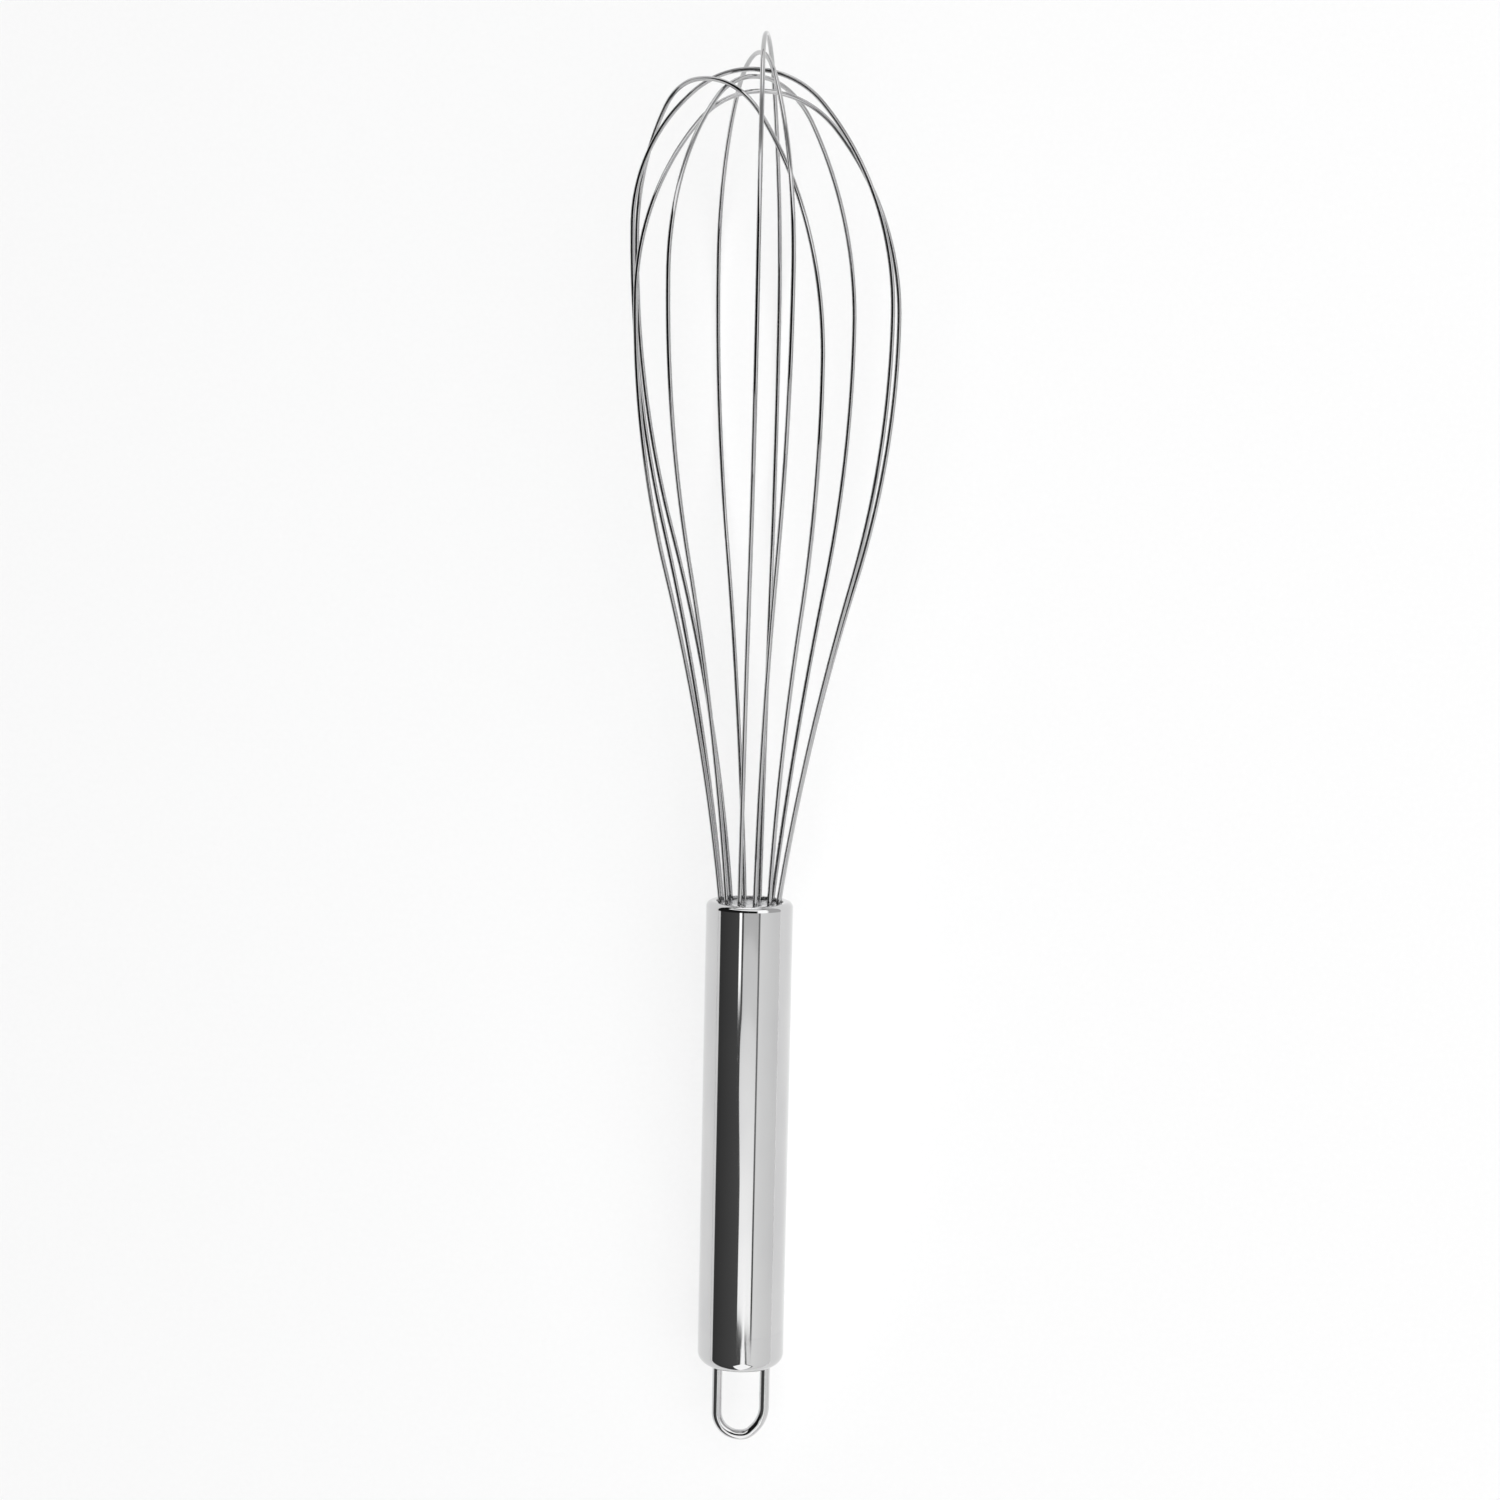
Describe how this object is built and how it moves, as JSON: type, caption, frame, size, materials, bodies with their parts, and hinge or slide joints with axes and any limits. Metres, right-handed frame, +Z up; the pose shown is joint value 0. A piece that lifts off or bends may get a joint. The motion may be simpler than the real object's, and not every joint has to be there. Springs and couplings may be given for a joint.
{
  "type": "balloon whisk",
  "caption": "Slim steel balloon whisk: spring-wire loops spread from a straight round tube handle with a bent-wire hanging loop at its end.",
  "frame": {"origin": "on the surface that the whisk lies on, under the middle of its length and width", "axes": "+Y from the hanging loop to the balloon's crown, +Z up from the surface, +X to the right seen from above with the balloon away from the viewer. The whisk's own axis lies in the YZ plane and rises 4.95 degrees towards the balloon"},
  "size_m": [0.0588, 0.3056, 0.0592],
  "materials": {
    "polished_steel": "polished, with fine lengthways scratches",
    "loop_wire": "bright drawn wire",
    "spring_wire": "electropolished drawn wire",
    "plain_steel": "stamped, unpolished",
    "resin": "cast epoxy"
  },
  "bodies": {
    "root": {"handle_tube": "polished_steel", "end_cap": "polished_steel", "cap_weld": "polished_steel", "hanging_loop": "loop_wire", "loop_backing_plate": "plain_steel", "loop_welds": "plain_steel", "wire_plate": "plain_steel", "anchor_plate": "plain_steel", "sealing_plug": "resin", "wire_loop_1": "spring_wire", "wire_loop_2": "spring_wire", "wire_loop_3": "spring_wire", "wire_loop_4": "spring_wire", "wire_loop_5": "spring_wire", "wire_loop_6": "spring_wire"}
  },
  "joints": []
}
